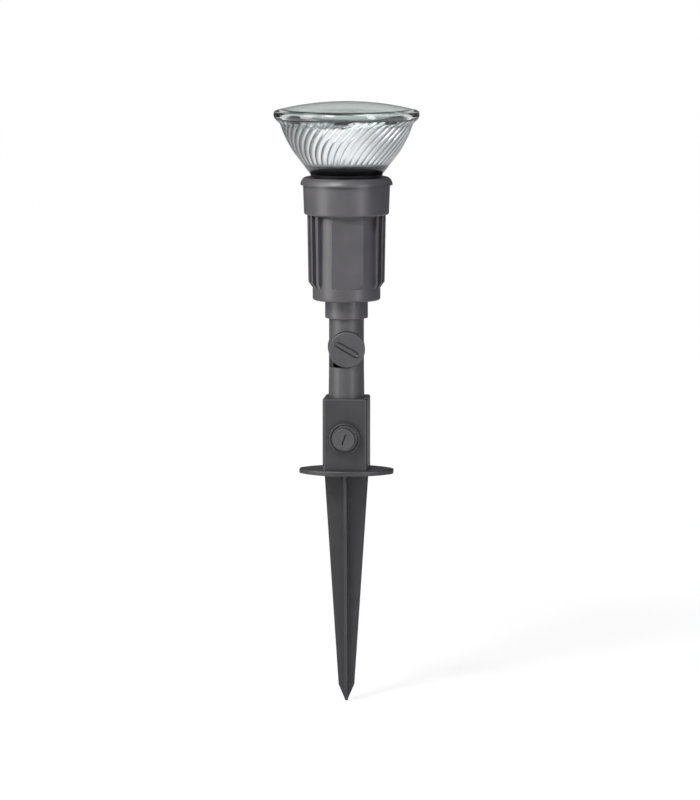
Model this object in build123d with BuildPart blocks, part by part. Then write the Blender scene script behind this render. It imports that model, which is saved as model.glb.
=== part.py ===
from build123d import *
import os
from math import sqrt

os.makedirs("parts", exist_ok=True)

# Garden spike spotlight, in millimetres. The ground line is z = 0, at the underside of the flange,
# +Z is up and the front is -Y. The arm and the head stand turned by arm_pan in the block.

# ---------------------------------------------------------------- driving dimensions

# Spike, flange and block: one moulding
spike_length = 154.0
point_length = 11.0
point_width = 10.6
tip_width = 1.2
blade_top_width = 29.4
blade_thickness = 2.0
blade_core = 2.8
flange_length = 63.0
flange_depth = 40.0
flange_end = 5.7
flange_thickness = 3.5
flange_corner = 2.2
flange_edge = 1.0
block_width = 30.0
block_height = 48.2
block_corner = 2.2
block_edge = 1.2
block_floor = 2.4
chamber_radius = 10.4
chamber_height = 14.8

# Clamp screw in the block's front
clamp_height = 25.4
boss_radius = 10.25
boss_proud = 3.6
boss_edge = 0.5
screw_seat_radius = 9.2
screw_seat_depth = 1.8
insert_wall = 1.5
clamp_shank_radius = 5.0
clamp_flange_thickness = 1.3
clamp_head_radius = 7.1
clamp_head_thickness = 5.6
clamp_slot_length = 7.5
clamp_slot_width = 1.2
clamp_slot_depth = 1.2
clamp_slot_lean = 70.0

# Cable inlet in the block's rear
gland_height = 13.6
gland_flats = 15.0
gland_flange = 4.0
gland_thread_radius = 5.95
gland_neck_length = 6.0
gland_wall = 1.2
nut_length = 9.0
nut_gap = 0.4
cable_radius = 3.25

# Lower arm, upper arm and the lapped knuckle between them
arm_pan = 6.0
arm_foot_radius = 12.0
arm_top_radius = 11.7
arm_bore_radius = 8.7
upper_arm_radius = 11.65
upper_bore_radius = 8.5
pivot_above_block = 32.6
knuckle_drop = 12.4
rear_tongue_radius = 12.3
rear_tongue_depth = 10.4
front_tongue_radius = 11.8
front_tongue_depth = 8.5
tongue_edge = 0.6
lap_gap = 0.3
bolt_radius = 3.0
bolt_head_flats = 10.0
bolt_head_thickness = 4.0
friction_inner_radius = 3.4
friction_outer_radius = 5.4
friction_thickness = 1.2
lead_slot_radius = 7.4
lead_slot_width = 3.0
lead_slot_depth = 4.5
arm_bore_below_pivot = 5.8
upper_bore_above_pivot = 8.0

# Knob that clamps the knuckle
knob_radius = 12.0
knob_thickness = 5.0
knob_edge = 0.9
knob_bar_length = 17.0
knob_bar_width = 1.8
knob_bar_proud = 0.9
knob_groove_width = 1.3
knob_groove_depth = 1.1
knob_bar_slope = -30.0
washer_radius = 5.6
washer_thickness = 0.8
knob_insert_radius = 4.6
knob_insert_length = 3.6

# Lamp body
neck_radius = 14.3
neck_length = 12.0
neck_edge = 0.7
neck_above_pivot = 20.3
ring_radius = 22.6
ring_edge = 1.7
body_wall = 2.2
body_floor = 2.4
body_height = 73.4
panel_proud = 0.2
panel_groove_angle = 52.4
panel_groove_width = 10.0
rib_foot_height = 8.5
rib_chamfer = 3.9
rib_radius_bottom = 25.5
rib_radius_top = 26.3
rib_groove_count = 5
rib_groove_angle = 15.4
rib_groove_width = 4.1
rib_edge = 0.5
rib_overlap = 2.0
thread_radius = 25.5
thread_height = 0.5
thread_pitch = 3.0
thread_turns = 4
first_ring = 0.7
throat_wall = 2.3
arm_standing = 2.0
neck_screw_radius = 2.0
neck_screw_head_radius = 3.4
neck_screw_head_height = 1.9

# Collar ring and rubber seal
collar_above_floor = 57.3
collar_radius_bottom = 28.3
collar_radius_top = 29.0
collar_wall_height = 19.7
collar_chamfer = 0.7
lip_radius = 30.7
lip_height = 5.0
lip_top_radius = 27.4
lip_mouth_radius = 24.6
lip_mouth_drop = 1.5
lip_edge = 0.9
seal_radius = 22.7
seal_flange_thickness = 1.7
seal_proud = 0.5
seal_edge = 0.7

# Reflector lamp: sizes from the widest place of its rim
lamp_radius = 48.5
lamp_above_lip = 42.3
lamp_standoff = 1.4
lens_rise = 7.9
lens_thickness = 3.2
lamp_seam_drop = 2.9
rim_drop = 6.8
rim_foot_inset = 4.3
rim_round = 2.0
rim_bulge = 0.37
seam_inset = 0.6
lens_shoulder_inset = 2.1
lens_shoulder_drop = 5.7
glass_wall = 2.6
coating_thickness = 0.4
bowl_slope_ratio = 1.3
bowl_curve_ratios = ((0.852, 0.235), (0.601, 0.518), (0.330, 0.738))
bowl_foot_radius = 23.9
glass_neck_radius = 20.6
glass_neck_length = 5.0
lamp_length = 91.0
cap_length = 22.0
cap_radius = 13.2
cap_wave = 1.0
cap_pitch = 3.6
cap_turns = 5
cap_wall = 0.5
cap_lead_in = 1.0
cap_insulator_height = 2.7
cap_contact_radius = 4.8
cap_contact_height = 1.5
capsule_radius = 6.0
capsule_length = 20.0
capsule_wall = 1.0
capsule_crown = 4.8
capsule_standoff = 9.0
capsule_lead_radius = 0.5
capsule_lead_spacing = 5.0

# Lampholder in the body
holder_radius = 19.5
holder_floor = 6.0
holder_screw_spacing = 32.4
sleeve_wall = 0.5
contact_strip_width = 6.0
contact_strip_length = 20.0
contact_height = 1.5
terminal_spacing = 16.0
terminal_width = 6.0
terminal_height = 6.0
terminal_screw_radius = 1.5
bracket_width = 12.0
bracket_length = 38.0
bracket_leg_spacing = 24.0
bracket_hole_radius = 5.0
bracket_thickness = 1.2
pillar_spacing = 33.0
pillar_radius = 2.9
pillar_height = 5.0
small_screw_radius = 1.5
small_head_radius = 2.6
small_head_height = 1.8
small_screw_length = 6.0

# Terminal strip and leads
strip_width = 13.0
strip_depth = 8.0
strip_height = 9.0
strip_pole_spacing = 6.0
lead_radius = 1.1
lead_bend_radius = 4.0

# Clearances
fit = 0.08
slip = 0.1
gap = 0.3
room = 0.4

# ---------------------------------------------------------------- places worked out from them

block_top = flange_thickness + block_height
chamber_floor = flange_thickness + block_floor
arm_foot_height = chamber_floor + chamber_height
pivot_height = block_top + pivot_above_block
shoulder_height = pivot_height - knuckle_drop
neck_bottom = pivot_height + neck_above_pivot
body_bottom = neck_bottom + neck_length
body_floor_top = body_bottom + body_floor
body_top = body_bottom + body_height
collar_bottom = body_bottom + collar_above_floor
lip_bottom = collar_bottom + collar_wall_height
lip_top = lip_bottom + lip_height
lamp_widest = lip_top + lamp_above_lip
lamp_apex = lamp_widest + lens_rise
socket_radius = arm_foot_radius + slip
block_front = block_width / 2
boss_front = block_front + boss_proud
screw_seat = boss_front - screw_seat_depth
horn_radius = knuckle_drop
cut_reach = 2 * knuckle_drop
bolt_bore = bolt_radius + fit
lap = lap_gap / 2
knob_seat = lap + front_tongue_depth
knob_back = knob_seat + slip
knob_front = knob_back + knob_thickness

# Planes of the turned arm: seen from the front, and from above
head_front = Plane(
    origin=(0, 0, pivot_height),
    x_dir=Vector(1, 0, 0).rotate(Axis.Z, arm_pan),
    z_dir=Vector(0, -1, 0).rotate(Axis.Z, arm_pan),
)
head_plan = Plane(origin=(0, 0, 0), x_dir=head_front.x_dir, z_dir=(0, 0, 1))
head_side = Plane(origin=(0, 0, 0), x_dir=head_front.x_dir, z_dir=head_front.z_dir)

# ---------------------------------------------------------------- spike, flange and block

with BuildPart() as spike_moulding:
    # Lens-shaped flange
    with BuildSketch(Plane.XY):
        with BuildLine():
            front = ThreePointArc(
                (-flange_length / 2, -flange_end / 2),
                (0, -flange_depth / 2),
                (flange_length / 2, -flange_end / 2),
            )
            right_end = Line(front @ 1, (flange_length / 2, flange_end / 2))
            back = ThreePointArc(right_end @ 1, (0, flange_depth / 2), (-flange_length / 2, flange_end / 2))
            Line(back @ 1, front @ 0)
        make_face()
        fillet(vertices(), flange_corner)
    extrude(amount=flange_thickness)
    fillet(faces().sort_by(Axis.Z)[-1].edges() + faces().sort_by(Axis.Z)[0].edges(), flange_edge)
    # Square block
    with BuildSketch(Plane.XY.offset(flange_thickness)):
        RectangleRounded(block_width, block_width, block_corner)
    extrude(amount=block_height)
    fillet(faces().sort_by(Axis.Z)[-1].edges(), block_edge)
    # Four blades that cross on the axis and taper to the point
    for blade_plane in (Plane.XZ, Plane.YZ):
        with BuildSketch(blade_plane):
            Polygon(
                (-blade_top_width / 2, 0),
                (blade_top_width / 2, 0),
                (point_width / 2, point_length - spike_length),
                (tip_width / 2, -spike_length),
                (-tip_width / 2, -spike_length),
                (-point_width / 2, point_length - spike_length),
                align=None,
            )
        extrude(amount=blade_thickness / 2, both=True)
    with BuildSketch(Plane.XY):
        Rectangle(blade_core, blade_core, rotation=45)
    extrude(amount=point_length - spike_length)
    # Boss for the clamp screw, with the seat of the screw's flange
    with BuildSketch(Plane.XZ.offset(block_front)):
        with Locations((0, clamp_height)):
            Circle(boss_radius)
    extrude(amount=boss_proud)
    fillet(faces().filter_by(Plane.XZ).sort_by(Axis.Y)[0].edges(), boss_edge)
    with BuildSketch(Plane.XZ.offset(boss_front)):
        with Locations((0, clamp_height)):
            Circle(screw_seat_radius)
    extrude(amount=-screw_seat_depth, mode=Mode.SUBTRACT)
    # Socket for the arm, and the terminal chamber under it
    with BuildSketch(Plane.XY.offset(arm_foot_height)):
        Circle(socket_radius)
    extrude(amount=block_top - arm_foot_height, mode=Mode.SUBTRACT)
    with BuildSketch(Plane.XY.offset(chamber_floor)):
        Circle(chamber_radius)
    extrude(amount=arm_foot_height - chamber_floor, mode=Mode.SUBTRACT)
    socket_mouth = faces().filter_by(Plane.XY).group_by(Axis.Z)[-1].edges().filter_by(GeomType.CIRCLE)
    chamfer(socket_mouth.sort_by(SortBy.RADIUS)[-1:], boss_edge)
    # Holes for the threaded insert and the cable gland
    with BuildSketch(Plane.XZ.offset(boss_front)):
        with Locations((0, clamp_height)):
            Circle(clamp_shank_radius + fit + insert_wall)
    extrude(amount=-boss_front, mode=Mode.SUBTRACT)
    with BuildSketch(Plane.XZ):
        with Locations((0, gland_height)):
            Circle(gland_thread_radius + fit)
    extrude(amount=-block_width, mode=Mode.SUBTRACT)

spike_moulding.part.label = "spike_moulding"
export_step(spike_moulding.part, "parts/spike_moulding.step")

# ---------------------------------------------------------------- clamp screw

insert_back = socket_radius + gap

with BuildPart() as clamp_insert:
    with BuildSketch(Plane.XZ.offset(insert_back)):
        with Locations((0, clamp_height)):
            Circle(clamp_shank_radius + fit + insert_wall)
            Circle(clamp_shank_radius + fit, mode=Mode.SUBTRACT)
    extrude(amount=screw_seat - insert_back)

clamp_insert.part.label = "clamp_insert"
export_step(clamp_insert.part, "parts/clamp_insert.step")

clamp_flange_back = screw_seat + slip
clamp_face = clamp_flange_back + clamp_flange_thickness + clamp_head_thickness

with BuildPart() as clamp_screw:
    with BuildSketch(Plane.XZ.offset(insert_back)):
        with Locations((0, clamp_height)):
            Circle(clamp_shank_radius)
    extrude(amount=clamp_flange_back - insert_back)
    with BuildSketch(Plane.XZ.offset(clamp_flange_back)):
        with Locations((0, clamp_height)):
            Circle(screw_seat_radius - gap)
    extrude(amount=clamp_flange_thickness)
    fillet(faces().sort_by(Axis.Y)[0].edges(), boss_edge)
    with BuildSketch(Plane.XZ.offset(clamp_face)):
        with Locations((0, clamp_height)):
            Circle(clamp_head_radius)
    extrude(amount=-clamp_head_thickness)
    fillet(faces().sort_by(Axis.Y)[0].edges(), boss_edge)
    with BuildSketch(Plane.XZ.offset(clamp_face)):
        with Locations((0, clamp_height)):
            SlotOverall(clamp_slot_length, clamp_slot_width, rotation=clamp_slot_lean)
    extrude(amount=-clamp_slot_depth, mode=Mode.SUBTRACT)

clamp_screw.part.label = "clamp_screw"
export_step(clamp_screw.part, "parts/clamp_screw.step")

# ---------------------------------------------------------------- cable gland

block_back = Plane.XZ.offset(-block_front)
gland_neck_radius = gland_thread_radius - gland_wall / 2
gland_bore = gland_neck_radius - gland_wall
chamber_reach = block_front - chamber_radius

with BuildPart() as cable_gland:
    with BuildSketch(block_back):
        with Locations((0, gland_height)):
            RegularPolygon(gland_flats / 2, 6, major_radius=False)
    extrude(amount=-gland_flange)
    with BuildSketch(block_back):
        with Locations((0, gland_height)):
            Circle(gland_thread_radius)
    extrude(amount=chamber_reach)
    with BuildSketch(block_back.offset(-gland_flange)):
        with Locations((0, gland_height)):
            Circle(gland_neck_radius)
    extrude(amount=-gland_neck_length)
    with BuildSketch(block_back.offset(chamber_reach)):
        with Locations((0, gland_height)):
            Circle(cable_radius + gap)
    extrude(amount=-(chamber_reach + gland_flange), mode=Mode.SUBTRACT)
    with BuildSketch(block_back.offset(-gland_flange)):
        with Locations((0, gland_height)):
            Circle(gland_bore)
    extrude(amount=-gland_neck_length, mode=Mode.SUBTRACT)

cable_gland.part.label = "cable_gland"
export_step(cable_gland.part, "parts/cable_gland.step")

bush_length = gland_neck_length + nut_gap

with BuildPart() as gland_bush:
    with BuildSketch(block_back.offset(-gland_flange)):
        with Locations((0, gland_height)):
            Circle(gland_bore - fit)
            Circle(cable_radius, mode=Mode.SUBTRACT)
    extrude(amount=-bush_length)

gland_bush.part.label = "gland_bush"
export_step(gland_bush.part, "parts/gland_bush.step")

nut_start = gland_flange + nut_gap

with BuildPart() as gland_nut:
    with BuildSketch(block_back.offset(-nut_start)):
        with Locations((0, gland_height)):
            RegularPolygon(gland_flats / 2, 6, major_radius=False)
    extrude(amount=-nut_length)
    dome_edges = faces().sort_by(Axis.Y)[-1].edges()
    chamfer(dome_edges, gland_wall)
    with BuildSketch(block_back.offset(-nut_start)):
        with Locations((0, gland_height)):
            Circle(gland_neck_radius + fit)
    extrude(amount=-gland_neck_length, mode=Mode.SUBTRACT)
    with BuildSketch(block_back.offset(-nut_start)):
        with Locations((0, gland_height)):
            Circle(cable_radius + gap)
    extrude(amount=-nut_length, mode=Mode.SUBTRACT)

gland_nut.part.label = "gland_nut"
export_step(gland_nut.part, "parts/gland_nut.step")

# ---------------------------------------------------------------- terminal strip in the chamber

strip_top = chamber_floor + strip_height
strip_screw_height = strip_top - strip_height / 4
pole = strip_pole_spacing / 2

with BuildPart() as terminal_strip:
    with BuildSketch(Plane.XY.offset(chamber_floor)):
        RectangleRounded(strip_width, strip_depth, neck_edge)
        with GridLocations(strip_pole_spacing, 0, 2, 1):
            Circle(lead_radius + fit, mode=Mode.SUBTRACT)
    extrude(amount=strip_height)
    with BuildSketch(Plane.XZ):
        with Locations((-pole, strip_screw_height), (pole, strip_screw_height)):
            Circle(terminal_screw_radius + fit)
    extrude(amount=strip_depth, mode=Mode.SUBTRACT)

terminal_strip.part.label = "terminal_strip"
export_step(terminal_strip.part, "parts/terminal_strip.step")

with BuildPart() as terminal_screws:
    with BuildSketch(Plane.XZ.offset(lead_radius + fit)):
        with Locations((-pole, strip_screw_height), (pole, strip_screw_height)):
            Circle(terminal_screw_radius)
    extrude(amount=strip_depth / 2 - lead_radius - fit)

terminal_screws.part.label = "terminal_screws"
export_step(terminal_screws.part, "parts/terminal_screws.step")

# ---------------------------------------------------------------- lower arm

with BuildPart() as lower_arm:
    with BuildSketch(Plane.XZ):
        Polygon(
            (0, arm_foot_height),
            (arm_foot_radius, arm_foot_height),
            (arm_foot_radius, block_top),
            (arm_top_radius, shoulder_height),
            (0, shoulder_height),
            align=None,
        )
    revolve(axis=Axis.Z)
    with BuildSketch(Plane.XY.offset(shoulder_height)):
        Circle(arm_top_radius)
    extrude(amount=knuckle_drop)
    # Round rear tongue
    with BuildSketch(head_front.offset(-lap)):
        Circle(rear_tongue_radius)
    extrude(amount=-rear_tongue_depth)
    # The front is cut back to a flat shoulder on the left, and to a stop on the right
    with BuildSketch(head_front.offset(-lap)):
        Circle(horn_radius)
        with Locations((-cut_reach / 2, 0)):
            Rectangle(cut_reach, 2 * knuckle_drop)
    extrude(amount=cut_reach, mode=Mode.SUBTRACT)
    # Bore for the leads, open on the lap under the pivot
    with BuildSketch(Plane.XY.offset(arm_foot_height)):
        Circle(arm_bore_radius)
    extrude(amount=pivot_height - arm_bore_below_pivot - arm_foot_height, mode=Mode.SUBTRACT)
    # Pivot bore, the bolt head's pocket and the friction disc's recess
    with BuildSketch(head_front):
        Circle(bolt_bore)
    extrude(amount=-cut_reach, mode=Mode.SUBTRACT)
    with BuildSketch(head_front.offset(-lap - rear_tongue_depth)):
        RegularPolygon(bolt_head_flats / 2 + fit, 6, major_radius=False)
    extrude(amount=bolt_head_thickness, mode=Mode.SUBTRACT)
    with BuildSketch(head_front.offset(-lap)):
        Circle(friction_outer_radius + fit)
    extrude(amount=-(friction_thickness / 2 + fit - lap), mode=Mode.SUBTRACT)
    rear_rim = edges().filter_by(GeomType.CIRCLE).filter_by(
        lambda e: abs(e.radius - rear_tongue_radius) < fit and e.center().Y > arm_bore_radius
    )
    fillet(rear_rim, tongue_edge)

lower_arm.part.label = "lower_arm"
export_step(lower_arm.part, "parts/lower_arm.step")

with BuildPart() as arm_leads:
    with BuildSketch(Plane.XY.offset(strip_top - strip_height / 2)):
        with GridLocations(strip_pole_spacing, 0, 2, 1):
            Circle(lead_radius)
    extrude(amount=shoulder_height - lead_bend_radius - strip_top + strip_height / 2)

arm_leads.part.label = "arm_leads"
export_step(arm_leads.part, "parts/arm_leads.step")

# ---------------------------------------------------------------- knuckle hardware

bolt_head_front = head_front.offset(-lap - rear_tongue_depth + bolt_head_thickness)
bolt_length = rear_tongue_depth - bolt_head_thickness + lap + knob_back + knob_insert_length

with BuildPart() as pivot_bolt:
    with BuildSketch(bolt_head_front):
        RegularPolygon(bolt_head_flats / 2, 6, major_radius=False)
    extrude(amount=-bolt_head_thickness)
    with BuildSketch(bolt_head_front):
        Circle(bolt_radius)
    extrude(amount=bolt_length)

pivot_bolt.part.label = "pivot_bolt"
export_step(pivot_bolt.part, "parts/pivot_bolt.step")

with BuildPart() as friction_disc:
    with BuildSketch(head_front):
        Circle(friction_outer_radius)
        Circle(friction_inner_radius, mode=Mode.SUBTRACT)
    extrude(amount=friction_thickness / 2, both=True)

friction_disc.part.label = "friction_disc"
export_step(friction_disc.part, "parts/friction_disc.step")

with BuildPart() as knob_washer:
    with BuildSketch(head_front.offset(knob_seat)):
        Circle(washer_radius)
        Circle(bolt_radius + slip, mode=Mode.SUBTRACT)
    extrude(amount=-washer_thickness)

knob_washer.part.label = "knob_washer"
export_step(knob_washer.part, "parts/knob_washer.step")

with BuildPart() as clamp_knob:
    with BuildSketch(head_front.offset(knob_back)):
        Circle(knob_radius)
    extrude(amount=knob_thickness)
    face_rim = faces().sort_by(Axis(head_front.origin, head_front.z_dir))[-1].edges()
    fillet(face_rim, knob_edge)
    # A bar to grip, between two grooves
    with BuildSketch(head_front.offset(knob_front)):
        SlotOverall(knob_bar_length, knob_bar_width + 2 * knob_groove_width, rotation=knob_bar_slope)
    extrude(amount=-knob_groove_depth, mode=Mode.SUBTRACT)
    with BuildSketch(head_front.offset(knob_front - knob_groove_depth)):
        Rectangle(knob_bar_length, knob_bar_width, rotation=knob_bar_slope)
    extrude(amount=knob_groove_depth + knob_bar_proud)
    # Pocket for the threaded insert
    with BuildSketch(head_front.offset(knob_back)):
        RegularPolygon(knob_insert_radius + fit, 6, major_radius=False)
    extrude(amount=knob_insert_length, mode=Mode.SUBTRACT)

clamp_knob.part.label = "clamp_knob"
export_step(clamp_knob.part, "parts/clamp_knob.step")

with BuildPart() as knob_insert:
    with BuildSketch(head_front.offset(knob_back)):
        RegularPolygon(knob_insert_radius, 6, major_radius=False)
        Circle(bolt_bore, mode=Mode.SUBTRACT)
    extrude(amount=knob_insert_length)

knob_insert.part.label = "knob_insert"
export_step(knob_insert.part, "parts/knob_insert.step")

# ---------------------------------------------------------------- upper arm

upper_arm_top = body_floor_top + arm_standing
neck_screw_plane = Plane(
    origin=(0, 0, neck_bottom + neck_length / 2),
    x_dir=head_front.x_dir,
    z_dir=head_front.z_dir,
)

with BuildPart() as upper_arm:
    with BuildSketch(Plane.XY.offset(pivot_height)):
        Circle(upper_arm_radius)
    extrude(amount=upper_arm_top - pivot_height)
    # Round front tongue
    with BuildSketch(head_front.offset(lap)):
        Circle(front_tongue_radius)
    extrude(amount=front_tongue_depth)
    # The rear is cut back, so that the lower arm's tongue can swing to the left
    with BuildSketch(head_front.offset(lap)):
        Circle(horn_radius)
        with Locations((-cut_reach / 2, 0)):
            Rectangle(cut_reach, 2 * knuckle_drop)
    extrude(amount=-cut_reach, mode=Mode.SUBTRACT)
    # Flat round seat for the knob
    with BuildSketch(head_front.offset(knob_seat)):
        Circle(knob_radius + gap)
    extrude(amount=cut_reach, mode=Mode.SUBTRACT)
    # Bore for the leads, and the quarter slot through which they cross the lap
    with BuildSketch(Plane.XY.offset(upper_arm_top)):
        Circle(upper_bore_radius)
    extrude(amount=pivot_height + upper_bore_above_pivot - upper_arm_top, mode=Mode.SUBTRACT)
    with BuildSketch(head_front.offset(lap)):
        with BuildLine():
            quarter = CenterArc((0, 0), lead_slot_radius, 180, 90)
        SlotArc(quarter, lead_slot_width)
        with Locations((-lead_slot_radius, upper_bore_above_pivot / 2)):
            Rectangle(lead_slot_width, upper_bore_above_pivot + lap)
    extrude(amount=lead_slot_depth, mode=Mode.SUBTRACT)
    # Pivot bore and the recesses of the friction disc and the washer
    with BuildSketch(head_front):
        Circle(bolt_bore)
    extrude(amount=cut_reach, mode=Mode.SUBTRACT)
    with BuildSketch(head_front.offset(lap)):
        Circle(friction_outer_radius + fit)
    extrude(amount=friction_thickness / 2 + fit - lap, mode=Mode.SUBTRACT)
    with BuildSketch(head_front.offset(knob_seat)):
        Circle(washer_radius + fit)
    extrude(amount=-washer_thickness, mode=Mode.SUBTRACT)
    # Pilot hole for the neck screw
    with BuildSketch(neck_screw_plane):
        Circle(neck_screw_radius + fit)
    extrude(amount=-cut_reach, mode=Mode.SUBTRACT)

upper_arm.part.label = "upper_arm"
export_step(upper_arm.part, "parts/upper_arm.step")

# ---------------------------------------------------------------- lamp body

rib_bottom = body_bottom + rib_foot_height
rib_top = collar_bottom + rib_overlap
rib_length = rib_top - rib_bottom
rib_root = ring_radius - body_wall / 2
panel_face = ring_radius + panel_proud
groove_middle = (rib_root + rib_radius_top) / 2
groove_reach = 2 * (rib_radius_top - rib_root)
groove_span = (rib_groove_count - 1) * rib_groove_angle
throat_bottom = collar_bottom - throat_wall
bore_radius = ring_radius - body_wall

with BuildPart() as ribs:
    # A sleeve whose foot slopes back to the ring
    with BuildSketch(Plane.XZ):
        Polygon(
            (rib_root, rib_bottom),
            (ring_radius, rib_bottom),
            (rib_radius_bottom, rib_bottom + rib_chamfer),
            (rib_radius_top, rib_top),
            (rib_root, rib_top),
            align=None,
        )
    revolve(axis=Axis.Z)
    # Flat panels at the front and the back
    for facing in (-1, 1):
        with BuildSketch(head_side.offset(facing * panel_face)):
            with Locations((0, rib_bottom + rib_length / 2)):
                Rectangle(2 * rib_radius_top, rib_length)
        extrude(amount=facing * rib_radius_top, mode=Mode.SUBTRACT)
    # A wide groove beside each panel, and narrow grooves between the ribs of each side
    with BuildSketch(head_plan.offset(rib_bottom)):
        for side in (0, 180):
            wide_start = side - panel_groove_angle
            with PolarLocations(groove_middle, 2, wide_start, 2 * panel_groove_angle, endpoint=True):
                Rectangle(groove_reach, panel_groove_width)
            narrow_start = side - groove_span / 2
            with PolarLocations(groove_middle, rib_groove_count, narrow_start, groove_span, endpoint=True):
                Rectangle(groove_reach, rib_groove_width)
    extrude(amount=rib_length, mode=Mode.SUBTRACT)
    long_edges = edges().filter_by(lambda e: e.length > rib_length - rib_chamfer - gap)
    fillet(long_edges.filter_by(lambda e: (e @ 0.5).X**2 + (e @ 0.5).Y**2 > ring_radius**2), rib_edge)

with BuildPart() as lamp_body:
    with BuildSketch(Plane.XZ):
        Polygon(
            (upper_arm_radius + slip, neck_bottom),
            (neck_radius, neck_bottom),
            (neck_radius, body_bottom),
            (ring_radius, body_bottom),
            (ring_radius, throat_bottom),
            (thread_radius, collar_bottom),
            (thread_radius, body_top),
            (thread_radius - throat_wall, body_top),
            (thread_radius - throat_wall, collar_bottom),
            (bore_radius, throat_bottom),
            (bore_radius, body_floor_top),
            (upper_arm_radius + slip, body_floor_top),
            align=None,
        )
    revolve(axis=Axis.Z)
    ring_edges = edges().filter_by(GeomType.CIRCLE).group_by(Axis.Z)
    fillet([e for g in ring_edges for e in g
            if abs(e.radius - ring_radius) < fit and abs(e.center().Z - body_bottom) < fit], ring_edge)
    fillet([e for g in ring_edges for e in g
            if abs(e.radius - neck_radius) < fit and abs(e.center().Z - neck_bottom) < fit], neck_edge)
    add(ribs.part)
    # Thread for the collar, as rings
    for turn in range(thread_turns):
        ring_height = body_top - (turn + first_ring) * thread_pitch
        with BuildSketch(Plane.XZ):
            Polygon(
                (thread_radius - fit, ring_height - thread_pitch / 3),
                (thread_radius + thread_height, ring_height - thread_pitch / 6),
                (thread_radius + thread_height, ring_height + thread_pitch / 6),
                (thread_radius - fit, ring_height + thread_pitch / 3),
                align=None,
            )
        revolve(axis=Axis.Z)
    # Pillars for the lampholder's bracket, and the neck screw's hole
    with BuildSketch(head_plan.offset(body_floor_top)):
        with GridLocations(pillar_spacing, 0, 2, 1):
            Circle(pillar_radius)
            Circle(small_screw_radius + fit, mode=Mode.SUBTRACT)
    extrude(amount=pillar_height)
    with BuildSketch(neck_screw_plane):
        Circle(neck_screw_radius + fit)
    extrude(amount=-cut_reach, mode=Mode.SUBTRACT)

lamp_body.part.label = "lamp_body"
export_step(lamp_body.part, "parts/lamp_body.step")

with BuildPart() as neck_screw:
    with BuildSketch(neck_screw_plane.offset(-upper_bore_radius)):
        Circle(neck_screw_radius)
    extrude(amount=upper_bore_radius - neck_radius)
    with BuildSketch(neck_screw_plane.offset(-neck_radius)):
        Circle(neck_screw_head_radius)
    extrude(amount=-neck_screw_head_height)
    head_rim = faces().sort_by(Axis.Y)[-1].edges()
    fillet(head_rim, neck_screw_head_height / 2)
    with BuildSketch(neck_screw_plane.offset(-neck_radius - neck_screw_head_height)):
        Rectangle(neck_screw_head_radius, washer_thickness)
        Rectangle(washer_thickness, neck_screw_head_radius)
    extrude(amount=washer_thickness, mode=Mode.SUBTRACT)

neck_screw.part.label = "neck_screw"
export_step(neck_screw.part, "parts/neck_screw.step")

# ---------------------------------------------------------------- collar ring and seal

seal_top = lip_top + seal_proud
collar_shoulder = body_top + seal_flange_thickness + slip
thread_clear = thread_radius + thread_height + gap

with BuildPart() as collar_ring:
    with BuildSketch(Plane.XZ):
        with BuildLine():
            wall = Polyline(
                (collar_radius_bottom - collar_chamfer, collar_bottom),
                (collar_radius_bottom, collar_bottom + collar_chamfer),
                (collar_radius_top, lip_bottom),
                (lip_radius, lip_bottom),
                (lip_radius, lip_bottom + lip_edge),
            )
            bead = Bezier(
                wall @ 1,
                (lip_radius - lip_edge, lip_top - lip_edge),
                (lip_top_radius + lip_edge, lip_top),
                (lip_top_radius, lip_top),
            )
            Polyline(
                bead @ 1,
                (lip_mouth_radius, lip_top - lip_mouth_drop),
                (lip_mouth_radius, collar_shoulder),
                (thread_clear, collar_shoulder),
                (thread_clear, rib_top + thread_pitch),
                (rib_radius_top + gap, rib_top + room),
                (rib_radius_top + gap, collar_bottom),
                wall @ 0,
            )
        make_face()
    revolve(axis=Axis.Z)
    # Thread rings that stand between those of the body
    for turn in range(thread_turns - 1):
        ring_height = body_top - (turn + first_ring) * thread_pitch - thread_pitch / 2
        with BuildSketch(Plane.XZ):
            Polygon(
                (thread_clear + fit, ring_height - thread_pitch / 4),
                (thread_radius + gap, ring_height - thread_pitch / 10),
                (thread_radius + gap, ring_height + thread_pitch / 10),
                (thread_clear + fit, ring_height + thread_pitch / 4),
                align=None,
            )
        revolve(axis=Axis.Z)

collar_ring.part.label = "collar_ring"
export_step(collar_ring.part, "parts/collar_ring.step")

with BuildPart() as lamp_seal:
    with BuildSketch(Plane.XZ):
        Polygon(
            (glass_neck_radius + room, body_top),
            (thread_radius + room, body_top),
            (thread_radius + room, body_top + seal_flange_thickness),
            (seal_radius, body_top + seal_flange_thickness),
            (seal_radius, seal_top),
            (glass_neck_radius + room, seal_top),
            align=None,
        )
    revolve(axis=Axis.Z)
    fillet(faces().sort_by(Axis.Z)[-1].edges(), seal_edge)

lamp_seal.part.label = "lamp_seal"
export_step(lamp_seal.part, "parts/lamp_seal.step")

# ---------------------------------------------------------------- reflector lamp

bowl_foot = seal_top + lamp_standoff
bowl_drop = lamp_widest - bowl_foot
glass_neck_bottom = bowl_foot - glass_neck_length
lamp_bottom = lamp_apex - lamp_length
cap_bottom = lamp_bottom + cap_contact_height + cap_insulator_height
cap_top = cap_bottom + cap_length
seam_radius = lamp_radius - seam_inset
seam_inner_radius = seam_radius - glass_wall * bowl_slope_ratio
rim_reach = lamp_radius + rim_bulge
lens_shoulder_radius = lamp_radius - lens_shoulder_inset


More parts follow.
